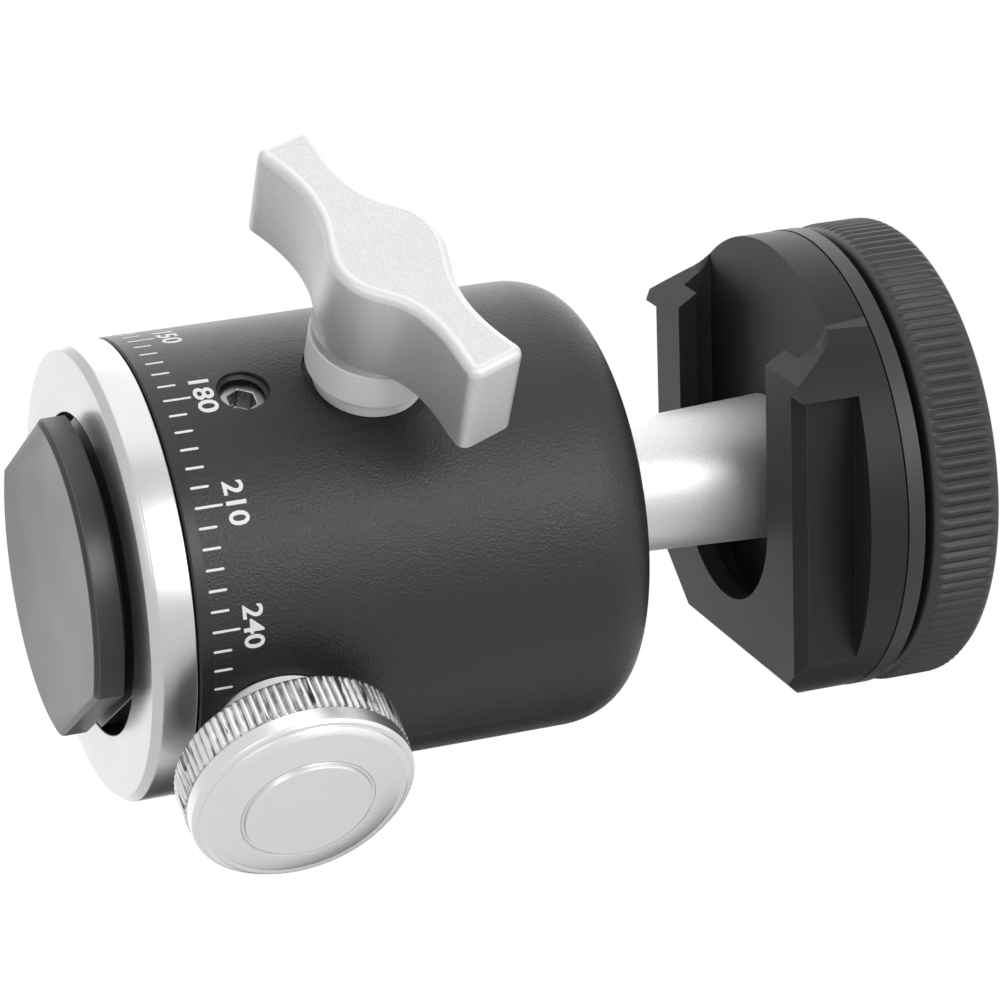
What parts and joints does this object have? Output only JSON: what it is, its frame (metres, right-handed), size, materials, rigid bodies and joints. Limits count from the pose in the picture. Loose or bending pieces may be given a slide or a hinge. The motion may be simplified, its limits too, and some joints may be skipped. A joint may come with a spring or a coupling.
{
  "type": "tripod ball head",
  "caption": "Small tripod ball head: double-D foot, graduated panning housing with lock lever and knob, ball stem with drop notch, slotted coupler and camera-screw lock wheel.",
  "frame": {"origin": "centre of the foot's lower face", "axes": "+Z runs from the foot up to the camera screw, -Y out along the ball lock lever, +X out along the pan lock knob, -X out through the drop notch"},
  "size_m": [0.0457, 0.0499, 0.0774],
  "materials": {
    "black_anodised": "fine matte black anodising",
    "turned_aluminium": "bright turned with fine rings",
    "blasted_aluminium": "bead blasted, satin",
    "black_coat": "finely grained black powder coat",
    "steel": "plain machined",
    "polished_steel": "polished",
    "brass": "machined",
    "nylon": "translucent off-white",
    "nylon_black": "dark, smooth",
    "rubber": "soft, fine ribbed"
  },
  "bodies": {
    "base": {"shoe_foot": "black_anodised", "base_ring": "turned_aluminium", "foot_bolt": "steel", "foot_dowels": "steel", "slip_washer": "nylon"},
    "housing_body": {"housing": "black_coat", "upper_race": "brass", "ball_cup": "nylon_black", "cup_spring": "steel", "retaining_grub": "steel", "lever_bush": "brass", "knob_bush": "brass"},
    "ball_clamp": {"clamp_pad": "brass", "lever_washer": "nylon"},
    "lever_body": {"lock_lever": "blasted_aluminium", "lever_insert": "brass", "lever_screw": "steel"},
    "pan_clamp": {"pan_pad": "brass", "pan_washer": "nylon"},
    "knob_body": {"pan_knob": "turned_aluminium", "pan_screw": "steel"},
    "ball_body": {"ball": "polished_steel"},
    "stem_body": {"stem": "blasted_aluminium"},
    "platform_body": {"coupler_block": "black_anodised", "camera_stud": "steel", "top_plate": "black_anodised", "plate_screws": "steel"},
    "wheel_lift_body": {"wheel_washer": "nylon"},
    "wheel_body": {"lock_wheel": "black_anodised", "wheel_bush": "brass", "wheel_pad": "rubber"}
  },
  "joints": [
    {"name": "pan_turn", "type": "hinge", "parent": "base", "child": "housing_body", "pos_m": [0, 0, 0], "axis": [0, 0, 1], "continuous": true},
    {"name": "ball_tilt_side", "type": "hinge", "parent": "housing_body", "child": "ball_body", "pos_m": [0, 0, 0.0305], "axis": [1, 0, 0], "range_deg": [-21, 21]},
    {"name": "ball_tilt_front", "type": "hinge", "parent": "ball_body", "child": "stem_body", "pos_m": [0, 0, 0.0305], "axis": [0, -1, 0], "range_deg": [-21, 90]},
    {"name": "ball_spin", "type": "hinge", "parent": "stem_body", "child": "platform_body", "pos_m": [0, 0, 0.0305], "axis": [0, 0, 1], "continuous": true},
    {"name": "clamp_travel", "type": "slide", "parent": "housing_body", "child": "ball_clamp", "axis": [0, -1, 0], "range_m": [0, 0.0003333]},
    {"name": "lever_turn", "type": "hinge", "parent": "ball_clamp", "child": "lever_body", "pos_m": [0, 0, 0.0241], "axis": [0, -1, 0], "range_deg": [0, 120]},
    {"name": "pan_clamp_travel", "type": "slide", "parent": "housing_body", "child": "pan_clamp", "axis": [1, 0, 0], "range_m": [0, 0.0005999]},
    {"name": "knob_turn", "type": "hinge", "parent": "pan_clamp", "child": "knob_body", "pos_m": [0, 0, 0.01285], "axis": [1, 0, 0], "range_deg": [0, 270]},
    {"name": "wheel_lift", "type": "slide", "parent": "platform_body", "child": "wheel_lift_body", "axis": [0, 0, 1], "range_m": [0, 0.00254]},
    {"name": "wheel_turn", "type": "hinge", "parent": "wheel_lift_body", "child": "wheel_body", "pos_m": [0, 0, 0], "axis": [0, 0, 1], "range_deg": [0, 720]}
  ],
  "couplings": [
    {"joint": "lever_turn", "follows": "clamp_travel", "rad_per_m": 6283.2},
    {"joint": "knob_turn", "follows": "pan_clamp_travel", "rad_per_m": 7854},
    {"joint": "wheel_turn", "follows": "wheel_lift", "rad_per_m": 4947.4}
  ]
}
